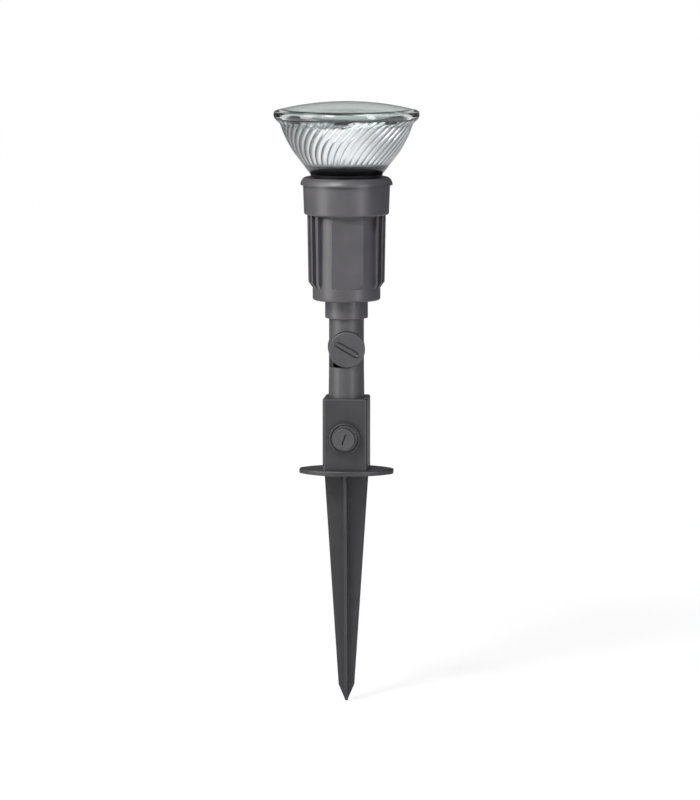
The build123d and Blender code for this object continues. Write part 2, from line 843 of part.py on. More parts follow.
def bowl_line(inset):
    """The bowl's meridian from its rim to its foot, moved towards the axis by inset."""
    rim = lamp_radius - rim_foot_inset
    meridian = [(rim - inset, lamp_widest - rim_drop)]
    for share, depth in bowl_curve_ratios:
        radius = bowl_foot_radius + share * (rim - bowl_foot_radius)
        meridian.append((radius - inset, lamp_widest - rim_drop - depth * (bowl_drop - rim_drop)))
    meridian.append((bowl_foot_radius - inset, bowl_foot))
    return meridian


dome_sphere = (lens_shoulder_radius**2 + lens_shoulder_drop**2) / (2 * lens_shoulder_drop)


def dome_height(radius, inset):
    """Height of the lens's dome at a radius, or of the sphere inside it by inset."""
    return lamp_apex - dome_sphere + sqrt((dome_sphere - inset) ** 2 - radius**2)


with BuildPart() as lamp_lens:
    with BuildSketch(Plane.XZ):
        with BuildLine():
            dome = ThreePointArc(
                (0, lamp_apex),
                (lens_shoulder_radius / 2, dome_height(lens_shoulder_radius / 2, 0)),
                (lens_shoulder_radius, dome_height(lens_shoulder_radius, 0)),
            )
            rim = Bezier(
                dome @ 1,
                (rim_reach, lamp_widest + rim_round),
                (rim_reach, lamp_widest - rim_round / 2),
                (seam_radius, lamp_widest - lamp_seam_drop),
            )
            seam = Line(rim @ 1, (seam_inner_radius, lamp_widest - lamp_seam_drop))
            edge = Line(seam @ 1, (seam_inner_radius, dome_height(seam_inner_radius, lens_thickness)))
            under = ThreePointArc(
                edge @ 1,
                (seam_inner_radius / 2, dome_height(seam_inner_radius / 2, lens_thickness)),
                (0, lamp_apex - lens_thickness),
            )
            Line(under @ 1, dome @ 0)
        make_face()
    revolve(axis=Axis.Z)

lamp_lens.part.label = "lamp_lens"
export_step(lamp_lens.part, "parts/lamp_lens.step")

glass_inset = glass_wall * bowl_slope_ratio

with BuildPart() as lamp_bowl:
    with BuildSketch(Plane.XZ):
        with BuildLine():
            outside = Spline(*bowl_line(0))
            neck = Polyline(
                outside @ 1,
                (glass_neck_radius, bowl_foot),
                (glass_neck_radius, glass_neck_bottom),
                (0, glass_neck_bottom),
                (0, glass_neck_bottom + glass_wall),
                (glass_neck_radius - glass_wall, glass_neck_bottom + glass_wall),
            )
            inside = Spline(*bowl_line(glass_inset))
            Line(neck @ 1, inside @ 1)
            throat = Line(inside @ 0, (seam_inner_radius, lamp_widest - lamp_seam_drop))
            lip = Line(throat @ 1, (seam_radius, lamp_widest - lamp_seam_drop))
            ThreePointArc(
                lip @ 1,
                (seam_radius - rim_round / 2, lamp_widest - (lamp_seam_drop + rim_drop) / 2 - gap),
                outside @ 0,
            )
        make_face()
    revolve(axis=Axis.Z)

lamp_bowl.part.label = "lamp_bowl"
export_step(lamp_bowl.part, "parts/lamp_bowl.step")

with BuildPart() as reflector_coating:
    with BuildSketch(Plane.XZ):
        with BuildLine():
            coat_outside = Spline(*bowl_line(glass_inset + slip))
            coat_inside = Spline(*bowl_line(glass_inset + slip + coating_thickness))
            Line(coat_outside @ 0, coat_inside @ 0)
            Line(coat_outside @ 1, coat_inside @ 1)
        make_face()
    revolve(axis=Axis.Z)

reflector_coating.part.label = "reflector_coating"
export_step(reflector_coating.part, "parts/reflector_coating.step")

capsule_bottom = glass_neck_bottom + glass_wall + capsule_standoff
capsule_top = capsule_bottom + capsule_length

with BuildPart() as lamp_capsule:
    with BuildSketch(Plane.XY.offset(capsule_bottom)):
        Circle(capsule_radius)
    extrude(amount=capsule_length)
    fillet(faces().sort_by(Axis.Z)[-1].edges(), capsule_crown)
    with BuildSketch(Plane.XY.offset(capsule_bottom + capsule_wall)):
        Circle(capsule_radius - capsule_wall)
    extrude(amount=capsule_length - 3 * capsule_wall, mode=Mode.SUBTRACT)

lamp_capsule.part.label = "lamp_capsule"
export_step(lamp_capsule.part, "parts/lamp_capsule.step")

with BuildPart() as capsule_leads:
    with BuildSketch(Plane.XY.offset(glass_neck_bottom + glass_wall)):
        with GridLocations(capsule_lead_spacing, 0, 2, 1):
            Circle(capsule_lead_radius)
    extrude(amount=capsule_standoff)

capsule_leads.part.label = "capsule_leads"
export_step(capsule_leads.part, "parts/capsule_leads.step")

filament_height = capsule_bottom + capsule_length / 2

with BuildPart() as filament:
    with BuildSketch(Plane.XY.offset(capsule_bottom + capsule_wall)):
        with GridLocations(capsule_lead_spacing, 0, 2, 1):
            Circle(capsule_lead_radius)
    extrude(amount=filament_height - capsule_bottom - capsule_wall)
    with BuildSketch(Plane.YZ):
        with Locations((0, filament_height)):
            Circle(capsule_lead_radius)
    extrude(amount=capsule_lead_spacing / 2 + capsule_lead_radius, both=True)

filament.part.label = "filament"
export_step(filament.part, "parts/filament.step")

with BuildPart() as lamp_skirt:
    with BuildSketch(Plane.XZ):
        Polygon(
            (cap_radius + cap_wall, cap_top),
            (glass_neck_radius - gap, glass_neck_bottom),
            (glass_neck_radius - gap - 2 * cap_wall, glass_neck_bottom),
            (cap_radius - cap_wall, cap_top),
            align=None,
        )
    revolve(axis=Axis.Z)

lamp_skirt.part.label = "lamp_skirt"
export_step(lamp_skirt.part, "parts/lamp_skirt.step")


def thread_line(shift):
    """The rolled thread's meridian, as rings, moved outwards by shift."""
    wave = []
    for half_turn in range(2 * cap_turns + 1):
        crest = cap_radius if half_turn % 2 else cap_radius - cap_wave
        wave.append((crest + shift, cap_bottom + cap_lead_in + half_turn * cap_pitch / 2))
    return wave


with BuildPart() as lamp_cap:
    with BuildSketch(Plane.XZ):
        with BuildLine():
            outer_wave = Spline(*thread_line(0))
            cap_outside = Polyline(outer_wave @ 1, (cap_radius - cap_wave, cap_top))
            cap_rim = Line(cap_outside @ 1, (cap_radius - cap_wave - cap_wall, cap_top))
            inner_wave = Spline(*thread_line(-cap_wall))
            Line(cap_rim @ 1, inner_wave @ 1)
            foot = Line(inner_wave @ 0, (cap_radius - cap_wave - cap_wall, cap_bottom))
            base = Line(foot @ 1, (cap_radius - cap_wave, cap_bottom))
            Line(base @ 1, outer_wave @ 0)
        make_face()
    revolve(axis=Axis.Z)
    # Shoulder that carries the skirt
    with BuildSketch(Plane.XY.offset(cap_top)):
        Circle(cap_radius + cap_wall)
        Circle(cap_radius - cap_wave - cap_wall, mode=Mode.SUBTRACT)
    extrude(amount=-cap_wall)

lamp_cap.part.label = "lamp_cap"
export_step(lamp_cap.part, "parts/lamp_cap.step")

with BuildPart() as cap_insulator:
    with BuildSketch(Plane.XY.offset(cap_bottom)):
        Circle(cap_radius - cap_wave)
    with BuildSketch(Plane.XY.offset(cap_bottom - cap_insulator_height)):
        Circle(cap_contact_radius + cap_wall)
    loft()

cap_insulator.part.label = "cap_insulator"
export_step(cap_insulator.part, "parts/cap_insulator.step")

with BuildPart() as cap_contact:
    with BuildSketch(Plane.XY.offset(lamp_bottom)):
        Circle(cap_contact_radius)
    extrude(amount=cap_contact_height)
    fillet(faces().sort_by(Axis.Z)[0].edges(), cap_wall)

cap_contact.part.label = "cap_contact"
export_step(cap_contact.part, "parts/cap_contact.step")

# ---------------------------------------------------------------- lampholder

holder_cavity = lamp_bottom - gap - contact_height
holder_bottom = holder_cavity - holder_floor
holder_top = cap_top - room - cap_wall
sleeve_outside = cap_radius + gap + sleeve_wall + room
bracket_top = holder_bottom - bracket_thickness
pillar_top = body_floor_top + pillar_height

with BuildPart() as holder_shell:
    with BuildSketch(Plane.XY.offset(holder_bottom)):
        Circle(holder_radius)
    extrude(amount=holder_top - holder_bottom)
    fillet(faces().sort_by(Axis.Z)[-1].edges(), tongue_edge)
    with BuildSketch(Plane.XY.offset(holder_cavity)):
        Circle(sleeve_outside)
    extrude(amount=holder_top - holder_cavity, mode=Mode.SUBTRACT)
    with BuildSketch(head_plan.offset(holder_bottom)):
        with GridLocations(holder_screw_spacing, 0, 2, 1):
            Circle(small_screw_radius + fit)
    extrude(amount=holder_floor - small_screw_radius, mode=Mode.SUBTRACT)

holder_shell.part.label = "holder_shell"
export_step(holder_shell.part, "parts/holder_shell.step")

with BuildPart() as holder_thread:
    with BuildSketch(Plane.XZ):
        with BuildLine():
            sleeve_inside = Spline(*thread_line(gap))
            sleeve_back = Spline(*thread_line(gap + sleeve_wall))
            Line(sleeve_inside @ 0, sleeve_back @ 0)
            Line(sleeve_inside @ 1, sleeve_back @ 1)
        make_face()
    revolve(axis=Axis.Z)
    # Foot ring that stands on the holder's floor
    with BuildSketch(Plane.XY.offset(holder_cavity)):
        Circle(cap_radius - cap_wave + gap + sleeve_wall)
        Circle(cap_radius - cap_wave + gap, mode=Mode.SUBTRACT)
    extrude(amount=cap_bottom + cap_lead_in - holder_cavity)

holder_thread.part.label = "holder_thread"
export_step(holder_thread.part, "parts/holder_thread.step")

with BuildPart() as centre_contact:
    with BuildSketch(head_plan.offset(holder_cavity)):
        RectangleRounded(contact_strip_length, contact_strip_width, neck_edge)
    extrude(amount=cap_wall)
    with BuildSketch(head_plan.offset(holder_cavity)):
        Circle(contact_strip_width / 2)
    extrude(amount=contact_height)

centre_contact.part.label = "centre_contact"
export_step(centre_contact.part, "parts/centre_contact.step")

with BuildPart() as holder_terminals:
    with BuildSketch(head_plan.offset(holder_bottom)):
        with GridLocations(terminal_spacing, 0, 2, 1):
            Rectangle(terminal_width, terminal_width)
    extrude(amount=-terminal_height)
    with BuildSketch(head_plan.offset(holder_bottom - terminal_height)):
        with GridLocations(terminal_spacing, 0, 2, 1):
            Circle(lead_radius + fit)
    extrude(amount=terminal_height / 2, mode=Mode.SUBTRACT)
    with BuildSketch(head_side.offset(lead_radius)):
        with Locations((-terminal_spacing / 2, holder_bottom - terminal_height * 3 / 4),
                       (terminal_spacing / 2, holder_bottom - terminal_height * 3 / 4)):
            Circle(small_screw_radius / 2 + fit)
    extrude(amount=terminal_width, mode=Mode.SUBTRACT)

holder_terminals.part.label = "holder_terminals"
export_step(holder_terminals.part, "parts/holder_terminals.step")

with BuildPart() as holder_terminal_screws:
    with BuildSketch(head_side.offset(lead_radius + fit)):
        with Locations((-terminal_spacing / 2, holder_bottom - terminal_height * 3 / 4),
                       (terminal_spacing / 2, holder_bottom - terminal_height * 3 / 4)):
            Circle(small_screw_radius / 2)
    extrude(amount=terminal_width / 2 - lead_radius - fit)
    with BuildSketch(head_side.offset(terminal_width / 2)):
        with Locations((-terminal_spacing / 2, holder_bottom - terminal_height * 3 / 4),
                       (terminal_spacing / 2, holder_bottom - terminal_height * 3 / 4)):
            Circle(small_screw_radius)
    extrude(amount=bracket_thickness)

holder_terminal_screws.part.label = "holder_terminal_screws"
export_step(holder_terminal_screws.part, "parts/holder_terminal_screws.step")

bracket_leg = bracket_leg_spacing / 2 + bracket_thickness / 2
bracket_middle = (pillar_top + holder_bottom) / 2
bracket_rise = holder_bottom - pillar_top
flange_reach = bracket_length / 2 - bracket_leg_spacing / 2
flange_middle = (bracket_length / 2 + bracket_leg_spacing / 2) / 2

with BuildPart() as holder_bracket:
    with BuildSketch(head_side):
        with Locations((0, pillar_top + bracket_thickness / 2)):
            Rectangle(bracket_length, bracket_thickness)
        with Locations((-bracket_leg, bracket_middle), (bracket_leg, bracket_middle)):
            Rectangle(bracket_thickness, bracket_rise)
        with Locations((-flange_middle, bracket_top + bracket_thickness / 2),
                       (flange_middle, bracket_top + bracket_thickness / 2)):
            Rectangle(flange_reach, bracket_thickness)
    extrude(amount=bracket_width / 2, both=True)
    with BuildSketch(head_plan.offset(pillar_top)):
        Circle(bracket_hole_radius)
        with GridLocations(pillar_spacing, 0, 2, 1):
            Circle(small_screw_radius + fit)
    extrude(amount=bracket_thickness, mode=Mode.SUBTRACT)
    with BuildSketch(head_plan.offset(bracket_top)):
        with GridLocations(holder_screw_spacing, 0, 2, 1):
            Circle(small_screw_radius + fit)
    extrude(amount=bracket_thickness, mode=Mode.SUBTRACT)

holder_bracket.part.label = "holder_bracket"
export_step(holder_bracket.part, "parts/holder_bracket.step")

with BuildPart() as holder_screws:
    with BuildSketch(head_plan.offset(bracket_top)):
        with GridLocations(holder_screw_spacing, 0, 2, 1):
            Circle(small_head_radius)
    extrude(amount=-small_head_height)
    with BuildSketch(head_plan.offset(bracket_top)):
        with GridLocations(holder_screw_spacing, 0, 2, 1):
            Circle(small_screw_radius)
    extrude(amount=small_screw_length - bracket_thickness)

holder_screws.part.label = "holder_screws"
export_step(holder_screws.part, "parts/holder_screws.step")

with BuildPart() as bracket_screws:
    with BuildSketch(head_plan.offset(pillar_top + bracket_thickness)):
        with GridLocations(pillar_spacing, 0, 2, 1):
            Circle(small_head_radius)
    extrude(amount=small_head_height)
    with BuildSketch(head_plan.offset(pillar_top + bracket_thickness)):
        with GridLocations(pillar_spacing, 0, 2, 1):
            Circle(small_screw_radius)
    extrude(amount=gap - small_screw_length)

bracket_screws.part.label = "bracket_screws"
export_step(bracket_screws.part, "parts/bracket_screws.step")

lead_top = holder_bottom - terminal_height / 2
lead_bend = bracket_top - terminal_height

with BuildPart() as head_leads:
    for side in (-1, 1):
        with BuildLine(head_side):
            route = FilletPolyline(
                (side * terminal_spacing / 2, lead_top),
                (side * terminal_spacing / 2, lead_bend),
                (side * strip_pole_spacing / 2, pillar_top + bracket_thickness),
                (side * strip_pole_spacing / 2, pivot_height + knuckle_drop + room),
                radius=lead_bend_radius,
            )
        with BuildSketch(head_plan.offset(lead_top)):
            with Locations((side * terminal_spacing / 2, 0)):
                Circle(lead_radius)
        sweep(path=route.edges())

head_leads.part.label = "head_leads"
export_step(head_leads.part, "parts/head_leads.step")
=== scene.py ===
import math
import bpy
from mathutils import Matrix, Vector


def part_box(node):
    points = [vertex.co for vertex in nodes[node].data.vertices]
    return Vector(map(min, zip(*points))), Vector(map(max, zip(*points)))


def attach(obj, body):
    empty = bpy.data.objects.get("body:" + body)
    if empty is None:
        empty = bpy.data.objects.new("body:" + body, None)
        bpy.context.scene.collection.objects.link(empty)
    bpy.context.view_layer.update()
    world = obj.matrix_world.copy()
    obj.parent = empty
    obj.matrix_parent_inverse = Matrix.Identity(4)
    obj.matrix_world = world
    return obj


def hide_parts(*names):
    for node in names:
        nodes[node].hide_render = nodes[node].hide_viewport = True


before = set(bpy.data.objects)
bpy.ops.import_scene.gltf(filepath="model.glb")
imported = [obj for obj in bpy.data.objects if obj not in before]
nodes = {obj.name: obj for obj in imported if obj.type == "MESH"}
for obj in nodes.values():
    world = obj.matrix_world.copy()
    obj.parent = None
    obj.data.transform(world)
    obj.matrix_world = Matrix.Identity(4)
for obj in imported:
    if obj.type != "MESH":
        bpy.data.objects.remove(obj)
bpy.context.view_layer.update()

scene = bpy.context.scene
bpy.ops.object.select_all(action="DESELECT")

# ---------------------------------------------------------------- studio table, light and camera
# The spotlight stands on a white table before white paper, and soft lamps light it from the left,
# the right, the front and behind. A black card at its left and a grey card at its right show only
# through its glass, and give the glass its dark edges.

spike_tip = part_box("spike_moulding")[0].z
aim = Vector((0.0, 0.0, 0.0493))
photo_azimuth = math.radians(4.4)
photo_elevation = math.radians(6.6)
camera_distance = 3.342
camera_lens = 225
camera_shift = 3.5 / 800
camera_reach = 20


def direction(azimuth, elevation):
    """A unit vector towards an azimuth, counted from the front, and an elevation."""
    return Vector((math.sin(azimuth) * math.cos(elevation), -math.cos(azimuth) * math.cos(elevation),
                   math.sin(elevation)))


towards_camera = direction(photo_azimuth, photo_elevation)
camera = bpy.data.objects.new("camera", bpy.data.cameras.new("camera"))
scene.collection.objects.link(camera)
scene.camera = camera
camera.data.lens = camera_lens
camera.data.shift_x = camera_shift
camera.data.clip_end = camera_reach
camera.location = aim + camera_distance * towards_camera
camera.rotation_euler = towards_camera.to_track_quat("Z", "Y").to_euler()

table_width = 12
bpy.ops.mesh.primitive_plane_add(size=table_width, location=(0, 0, spike_tip))
table = bpy.context.object
table.name = "studio_table"
bpy.ops.object.select_all(action="DESELECT")


def new_material(name):
    """A material with its shader and its tree of nodes."""
    made = bpy.data.materials.new(name)
    made.use_nodes = True
    return made, made.node_tree.nodes["Principled BSDF"], made.node_tree


def fade(tree, level, reach, ends):
    """Goes smoothly from one end value to the other while a level passes through its reach."""
    ramp = tree.nodes.new("ShaderNodeMapRange")
    ramp.interpolation_type = "SMOOTHSTEP"
    ramp.inputs["From Min"].default_value = reach[0]
    ramp.inputs["From Max"].default_value = reach[1]
    ramp.inputs["To Min"].default_value = ends[0]
    ramp.inputs["To Max"].default_value = ends[1]
    tree.links.new(level, ramp.inputs["Value"])
    return ramp.outputs["Result"]


def reckon(tree, operation, *terms, clamp=False):
    """One step of arithmetic on sockets, or on plain numbers among them."""
    step = tree.nodes.new("ShaderNodeMath")
    step.operation = operation
    step.use_clamp = clamp
    for place, term in enumerate(terms):
        if isinstance(term, float):
            step.inputs[place].default_value = term
        else:
            tree.links.new(term, step.inputs[place])
    return step.outputs[0]


def mix_shaders(tree, share, first, second, output):
    """Ends a tree in two shaders: a share of 0 is all the first, and 1 is all the second."""
    mix = tree.nodes.new("ShaderNodeMixShader")
    tree.links.new(share, mix.inputs["Fac"])
    tree.links.new(first.outputs[0], mix.inputs[1])
    tree.links.new(second.outputs[0], mix.inputs[2])
    tree.links.new(mix.outputs[0], tree.nodes[output].inputs["Surface"])


# The table glows white for the camera and through glass, and less near the spike's tip, where its
# paint has to show the shadow.
shadow_reach = (0.20, 0.80)
table_share = (0.60, 0.96)
table_strength = (1.15, 1.035)
black_card_edge = (-0.30, -0.20)
black_card_shade = 0.10
grey_card_edge = (0.16, 0.34)
grey_card_shade = 0.55

table_white, table_shader, table_tree = new_material("table_white")
table_shader.inputs["Base Color"].default_value = (0.85, 0.85, 0.85, 1)
table_shader.inputs["Roughness"].default_value = 0.9
table_rays = table_tree.nodes.new("ShaderNodeLightPath")
table_place = table_tree.nodes.new("ShaderNodeTexCoord")
table_sides = table_tree.nodes.new("ShaderNodeSeparateXYZ")
table_length = table_tree.nodes.new("ShaderNodeVectorMath")
table_length.operation = "LENGTH"
table_tree.links.new(table_place.outputs["Object"], table_sides.inputs[0])
table_tree.links.new(table_place.outputs["Object"], table_length.inputs[0])
sideways = table_sides.outputs["X"]
from_tip = table_length.outputs["Value"]
cards = reckon(table_tree, "MULTIPLY",
               fade(table_tree, sideways, black_card_edge, (black_card_shade, 1.0)),
               fade(table_tree, sideways, grey_card_edge, (1.0, grey_card_shade)))
cards_in_glass = reckon(table_tree, "MAXIMUM", cards, table_rays.outputs["Is Camera Ray"])
glow_level = reckon(table_tree, "MULTIPLY", cards_in_glass,
                    fade(table_tree, from_tip, shadow_reach, table_strength))
seen_directly = reckon(table_tree, "ADD", table_rays.outputs["Is Camera Ray"],
                       table_rays.outputs["Is Transmission Ray"], clamp=True)
glow_share = reckon(table_tree, "MULTIPLY", seen_directly,
                    fade(table_tree, from_tip, shadow_reach, table_share))
table_glow = table_tree.nodes.new("ShaderNodeEmission")
table_tree.links.new(glow_level, table_glow.inputs["Strength"])
mix_shaders(table_tree, glow_share, table_shader, table_glow, "Material Output")
table.data.materials.append(table_white)

# The paper is as white for the camera and through glass, and shows weakly in gloss. Above its top
# edge the room is dim.
paper_top = (0.26, 0.50)
paper_gloss = 0.12

world = bpy.data.worlds.new("studio")
scene.world = world
world.use_nodes = True
world_tree = world.node_tree
room_light = world_tree.nodes["Background"]
room_light.inputs["Color"].default_value = (0.84, 0.83, 0.87, 1)
room_light.inputs["Strength"].default_value = 0.12
paper_light = world_tree.nodes.new("ShaderNodeBackground")
paper_light.inputs["Color"].default_value = (1, 1, 1, 1)
paper_light.inputs["Strength"].default_value = 1.0
world_rays = world_tree.nodes.new("ShaderNodeLightPath")
world_place = world_tree.nodes.new("ShaderNodeTexCoord")
world_sides = world_tree.nodes.new("ShaderNodeSeparateXYZ")
world_tree.links.new(world_place.outputs["Generated"], world_sides.inputs[0])
paper = fade(world_tree, world_sides.outputs["Z"], paper_top, (1.0, 0.0))
gloss_and_glass = reckon(world_tree, "MULTIPLY_ADD", world_rays.outputs["Is Glossy Ray"],
                         paper_gloss, world_rays.outputs["Is Transmission Ray"])
paper_share = reckon(world_tree, "MULTIPLY_ADD", paper, gloss_and_glass,
                     world_rays.outputs["Is Camera Ray"], clamp=True)
mix_shaders(world_tree, paper_share, room_light, paper_light, "World Output")


def soft_lamp(name, azimuth, elevation, distance, width, height, power, tint):
    """An area lamp that faces the spotlight, from a direction in degrees."""
    lamp = bpy.data.objects.new(name, bpy.data.lights.new(name, "AREA"))
    scene.collection.objects.link(lamp)
    lamp.data.shape = "RECTANGLE"
    lamp.data.size = width
    lamp.data.size_y = height
    lamp.data.energy = power
    lamp.data.color = tint
    way = direction(math.radians(azimuth), math.radians(elevation))
    lamp.location = aim + distance * way
    lamp.rotation_euler = way.to_track_quat("Z", "Y").to_euler()
    return lamp


soft_lamp("left_softbox", azimuth=-62, elevation=20, distance=1.2, width=0.48, height=1.1,
          power=11, tint=(1.0, 0.99, 0.97))
soft_lamp("right_softbox", azimuth=44, elevation=18, distance=1.3, width=0.28, height=1.1,
          power=9, tint=(0.95, 0.93, 1.0))
soft_lamp("front_lamp", azimuth=-28, elevation=45, distance=1.0, width=0.25, height=0.25,
          power=7.5, tint=(1.0, 0.98, 0.96))
rear_softbox = soft_lamp("rear_softbox", azimuth=178, elevation=40, distance=1.8, width=0.5,
                         height=0.9, power=12, tint=(0.98, 0.99, 1.0))
rear_softbox.visible_glossy = False
rear_softbox.visible_transmission = False

scene.view_settings.view_transform = "Standard"

# ---------------------------------------------------------------- spike with its flange and block
# One moulding in glass-filled polyamide: four blades, the flange that stops it at the ground, and
# the square block that holds the arm. The tool was spark-eroded, so the skin has a fine even grain.


def uneven(tree, scale, detail=2.0, roughness=0.5):
    """Noise that is fixed to the piece, and finer at a larger scale."""
    place = tree.nodes.new("ShaderNodeTexCoord")
    noise = tree.nodes.new("ShaderNodeTexNoise")
    noise.inputs["Scale"].default_value = scale
    noise.inputs["Detail"].default_value = detail
    noise.inputs["Roughness"].default_value = roughness
    tree.links.new(place.outputs["Object"], noise.inputs["Vector"])
    return noise.outputs["Fac"]


def two_tones(tree, level, dark, light, dark_end=0.0, light_end=1.0):
    """A colour that goes from dark to light as a level rises."""
    tone = tree.nodes.new("ShaderNodeValToRGB")
    ends = tone.color_ramp.elements
    ends[0].position = dark_end
    ends[0].color = (*dark, 1)
    ends[1].position = light_end
    ends[1].color = (*light, 1)
    tree.links.new(level, tone.inputs["Fac"])
    return tone.outputs["Color"]


def shaded(colour, factor):
    """A colour made darker or lighter, up to white."""
    return [min(1.0, part * factor) for part in colour]


def spread(tree, level, low, high):
    """Brings a level from 0 to 1 into a range of values."""
    bounds = tree.nodes.new("ShaderNodeMapRange")
    bounds.inputs["To Min"].default_value = low
    bounds.inputs["To Max"].default_value = high
    tree.links.new(level, bounds.inputs["Value"])
    return bounds.outputs["Result"]


def moulded_plastic(name, colour, roughness, grain_size, grain_depth):
    """Anthracite plastic with spark-eroded grain and a faint mottle from the flow of the melt."""
    made, shader, tree = new_material(name)
    grain = tree.nodes.new("ShaderNodeBump")
    grain.inputs["Strength"].default_value = 0.3
    grain.inputs["Distance"].default_value = grain_depth
    tree.links.new(uneven(tree, 1 / grain_size, 3, 0.6), grain.inputs["Height"])
    tree.links.new(grain.outputs["Normal"], shader.inputs["Normal"])
    mottle = uneven(tree, 70, 4)
    tone = two_tones(tree, mottle, shaded(colour, 0.92), shaded(colour, 1.08), 0.35, 0.68)
    tree.links.new(tone, shader.inputs["Base Color"])
    gloss = spread(tree, mottle, roughness - 0.05, roughness + 0.05)
    tree.links.new(gloss, shader.inputs["Roughness"])
    shader.inputs["IOR"].default_value = 1.55
    return made


def dress(material, *names):
    """Gives one material to nodes that are shown as packed."""
    for name in names:
        nodes[name].data.materials.clear()
        nodes[name].data.materials.append(material)


spike_skin = moulded_plastic("spike_skin", (0.026, 0.026, 0.028), 0.44, 0.0006, 0.00005)
dress(spike_skin, "spike_moulding")

# ---------------------------------------------------------------- clamp screw and its insert
# A moulded screw clamps the arm in the block. Its shank runs in a turned brass insert that is
# pressed into the block's front wall.


def plain_metal(name, colour, roughness, scratch_size):
    """Metal as machined or plated, with a fine uneven sheen."""
    made, shader, tree = new_material(name)
    patch = uneven(tree, 1 / scratch_size, 4)
    sheen = spread(tree, patch, max(0.02, roughness - 0.08), roughness + 0.10)
    tree.links.new(sheen, shader.inputs["Roughness"])
    tone = two_tones(tree, patch, shaded(colour, 0.88), colour, 0.3, 0.7)
    tree.links.new(tone, shader.inputs["Base Color"])
    shader.inputs["Metallic"].default_value = 1.0
    return made


fitting_skin = moulded_plastic("fitting_skin", (0.050, 0.050, 0.053), 0.44, 0.0004, 0.00003)
turned_brass = plain_metal("turned_brass", (0.72, 0.52, 0.22), 0.30, 0.002)
dress(fitting_skin, "clamp_screw")
dress(turned_brass, "clamp_insert")

# ---------------------------------------------------------------- cable inlet
# A black gland with a hexagon nut squeezes a rubber bush round the cable where it enters the block.
# The bush is soft black rubber with a dull skin.


def soft_rubber(name, colour, roughness):
    """Moulded rubber: matt, with a powdery bloom in patches."""
    made, shader, tree = new_material(name)
    tone = two_tones(tree, uneven(tree, 160, 5), colour, shaded(colour, 1.7), 0.4, 0.75)
    tree.links.new(tone, shader.inputs["Base Color"])
    shader.inputs["Roughness"].default_value = roughness
    return made


black_rubber = soft_rubber("black_rubber", (0.012, 0.012, 0.013), 0.42)
dress(fitting_skin, "cable_gland", "gland_nut")
dress(black_rubber, "gland_bush")

# ---------------------------------------------------------------- terminal strip, leads and lower arm
# The supply ends at a grey two-pole strip in the block, with nickelled screws. Brown leads go up
# through the arm, a straight tube moulded in one with the rear half of the knuckle.


def plain_resin(name, colour, roughness):
    """Smooth moulded resin with a slight cloudiness."""
    made, shader, tree = new_material(name)
    tone = two_tones(tree, uneven(tree, 90, 3), shaded(colour, 0.9), shaded(colour, 1.1))
    tree.links.new(tone, shader.inputs["Base Color"])
    shader.inputs["Roughness"].default_value = roughness
    return made


arm_skin = moulded_plastic("arm_skin", (0.052, 0.052, 0.054), 0.44, 0.0005, 0.00004)
strip_resin = plain_resin("strip_resin", (0.45, 0.45, 0.43), 0.5)
lead_skin = plain_resin("lead_skin", (0.10, 0.035, 0.016), 0.45)
nickel_plate = plain_metal("nickel_plate", (0.66, 0.64, 0.60), 0.22, 0.0015)
dress(arm_skin, "lower_arm")
dress(strip_resin, "terminal_strip")
dress(lead_skin, "arm_leads", "head_leads")
dress(nickel_plate, "terminal_screws", "holder_terminals", "holder_terminal_screws")

# ---------------------------------------------------------------- knuckle and its knob
# A zinc-plated bolt lies in the rear tongue, and the moulded knob runs on it with a brass insert.
# A fibre disc between the two tongues gives the friction that holds the head at its angle.

fibre_board = plain_resin("fibre_board", (0.22, 0.07, 0.03), 0.7)
zinc_steel = plain_metal("zinc_steel", (0.60, 0.61, 0.63), 0.30, 0.003)
dress(zinc_steel, "pivot_bolt", "knob_washer", "neck_screw", "holder_bracket", "bracket_screws",
      "holder_screws")
dress(fibre_board, "friction_disc")
dress(turned_brass, "knob_insert")
dress(fitting_skin, "clamp_knob")

# ---------------------------------------------------------------- upper arm, body, collar and seal
# The lamp body is a ribbed cup with a flat panel in front, moulded in the same anthracite plastic.
# The collar screws on it and presses a black silicone seal round the neck of the lamp.

body_skin = moulded_plastic("body_skin", (0.058, 0.057, 0.062), 0.42, 0.0005, 0.00004)
dress(arm_skin, "upper_arm")
dress(body_skin, "lamp_body", "collar_ring")
dress(black_rubber, "lamp_seal")

# ---------------------------------------------------------------- lampholder
# A glazed porcelain holder stands on a plated steel bracket. Its threaded sleeve and its centre
# contact are nickelled brass.


def glazed_porcelain(name):
    """White body under a clear glaze, slightly cream."""
    made, shader, tree = new_material(name)
    tone = two_tones(tree, uneven(tree, 60), (0.72, 0.70, 0.64), (0.80, 0.79, 0.75))
    tree.links.new(tone, shader.inputs["Base Color"])
    shader.inputs["Roughness"].default_value = 0.35
    shader.inputs["Coat Weight"].default_value = 0.8
    shader.inputs["Coat Roughness"].default_value = 0.08
    return made


dress(glazed_porcelain("glazed_porcelain"), "holder_shell")
dress(nickel_plate, "holder_thread", "centre_contact")

# ---------------------------------------------------------------- lamp cap
# The lamp's cap is thin rolled aluminium with a screw thread, on a spun skirt that is cemented to
# the glass neck. Black glass insulates the tin contact at its end.

lamp_aluminium = plain_metal("lamp_aluminium", (0.74, 0.75, 0.76), 0.28, 0.002)
black_glass = plain_resin("black_glass", (0.010, 0.010, 0.012), 0.12)
dress(lamp_aluminium, "lamp_skirt", "lamp_cap")
dress(black_glass, "cap_insulator")
dress(nickel_plate, "cap_contact")

# ---------------------------------------------------------------- halogen capsule
# A small quartz capsule stands in the reflector on two nickel leads. Its tungsten filament lies
# across between the leads.


